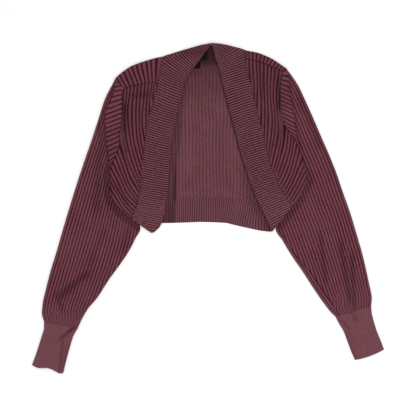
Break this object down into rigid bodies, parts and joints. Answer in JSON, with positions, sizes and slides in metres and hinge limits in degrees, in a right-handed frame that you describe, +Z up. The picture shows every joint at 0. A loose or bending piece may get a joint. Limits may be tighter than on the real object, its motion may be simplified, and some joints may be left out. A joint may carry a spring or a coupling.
{
  "type": "cropped open-front cardigan, lying flat",
  "caption": "Cropped open-front cardigan in rib knit, laid flat, with a wide band round neck and fronts, full long sleeves and deep cuffs.",
  "frame": {"origin": "middle of the outline, on the surface that the garment lies on", "axes": "+X to the right of the garment as it is seen from above, +Y towards its neck, +Z up out of the surface"},
  "size_m": [0.774, 0.726, 0.0088],
  "materials": {
    "rib_knit": "matte two-colour rib knit, mauve-brown ribs over wine grooves",
    "fine_rib_knit": "matte narrow rib knit, mauve-brown",
    "label_cloth": "black woven tape, bare"
  },
  "bodies": {
    "root": {"back_panel": "rib_knit", "front_left": "rib_knit", "front_right": "rib_knit", "sleeve_left": "rib_knit", "sleeve_right": "rib_knit", "band_left": "fine_rib_knit", "band_right": "fine_rib_knit", "neck_band": "fine_rib_knit", "hem_band": "fine_rib_knit", "cuff_left": "fine_rib_knit", "cuff_right": "fine_rib_knit", "neck_label": "label_cloth", "size_tab": "label_cloth"}
  },
  "joints": []
}
